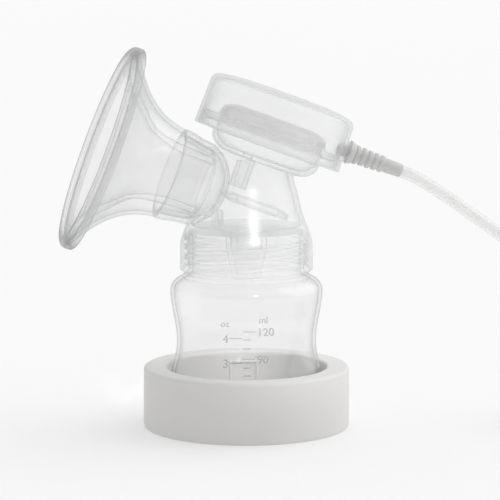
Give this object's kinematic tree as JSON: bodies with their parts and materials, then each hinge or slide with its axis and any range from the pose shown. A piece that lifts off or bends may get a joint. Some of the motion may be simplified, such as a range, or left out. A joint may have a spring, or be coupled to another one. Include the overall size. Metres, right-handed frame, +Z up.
{
  "type": "single electric breast pump kit",
  "caption": "Breast pump on its bottle: stand, bottle, screw-on body with valve, funnel with soft liner, membrane under a domed cap, and an air tube with its plug.",
  "frame": {"origin": "middle of the stand's underside, on the surface it stands on", "axes": "+Z up along the bottle; the funnel points towards -X and leans up 20 degrees; the air tube leaves towards +X; +Y is away from the viewer"},
  "size_m": [0.2884, 0.1154, 0.1691],
  "materials": {
    "stand": "matte",
    "bottle": "gloss",
    "pump_body": "satin",
    "valve": "satin",
    "flange_shell": "gloss",
    "soft_liner": "satin",
    "membrane": "satin",
    "cap": "satin",
    "tube_fittings": "satin",
    "tube": "gloss",
    "clip": "matte"
  },
  "bodies": {
    "stand": {"stand": "stand"},
    "bottle": {"bottle": "bottle"},
    "valve": {"duckbill_valve": "valve"},
    "pump_body": {"pump_body": "pump_body"},
    "flange_shell": {"flange_shell": "flange_shell"},
    "flange_liner": {"flange_liner": "soft_liner"},
    "membrane": {"membrane": "membrane"},
    "cap": {"cap": "cap"},
    "air_tube": {"tube_connector": "tube_fittings", "tube": "tube", "tube_coil": "tube", "coil_clip": "clip", "tube_tail": "tube", "motor_connector": "tube_fittings"}
  },
  "joints": [
    {"name": "bottle_lift", "type": "slide", "parent": "stand", "child": "bottle", "axis": [0, 0, 1], "range_m": [0, 0.03]},
    {"name": "unscrew_rise", "type": "slide", "parent": "bottle", "child": "valve", "axis": [0, 0, 1], "range_m": [0, 0.013]},
    {"name": "unscrew_turn", "type": "hinge", "parent": "valve", "child": "pump_body", "pos_m": [0, 0, 0.08], "axis": [0, 0, 1], "range_deg": [0, 360]},
    {"name": "flange_pull", "type": "slide", "parent": "pump_body", "child": "flange_shell", "axis": [-0.9336, 0, 0.3584], "range_m": [0, 0.025]},
    {"name": "liner_pull", "type": "slide", "parent": "flange_shell", "child": "flange_liner", "axis": [-0.9336, 0, 0.3584], "range_m": [0, 0.055]},
    {"name": "membrane_stroke", "type": "slide", "parent": "pump_body", "child": "membrane", "axis": [0.342, 0, 0.9397], "range_m": [-0.01, 0.008], "stiffness_N_per_m": 300, "deforming": ["membrane"]},
    {"name": "cap_lift", "type": "slide", "parent": "pump_body", "child": "cap", "axis": [0.342, 0, 0.9397], "range_m": [0, 0.025]},
    {"name": "tube_pull", "type": "slide", "parent": "cap", "child": "air_tube", "axis": [0.9397, 0, -0.342], "range_m": [0, 0.012]}
  ],
  "couplings": [
    {"joint": "unscrew_rise", "follows": "unscrew_turn", "m_per_rad": 0.0020531}
  ]
}
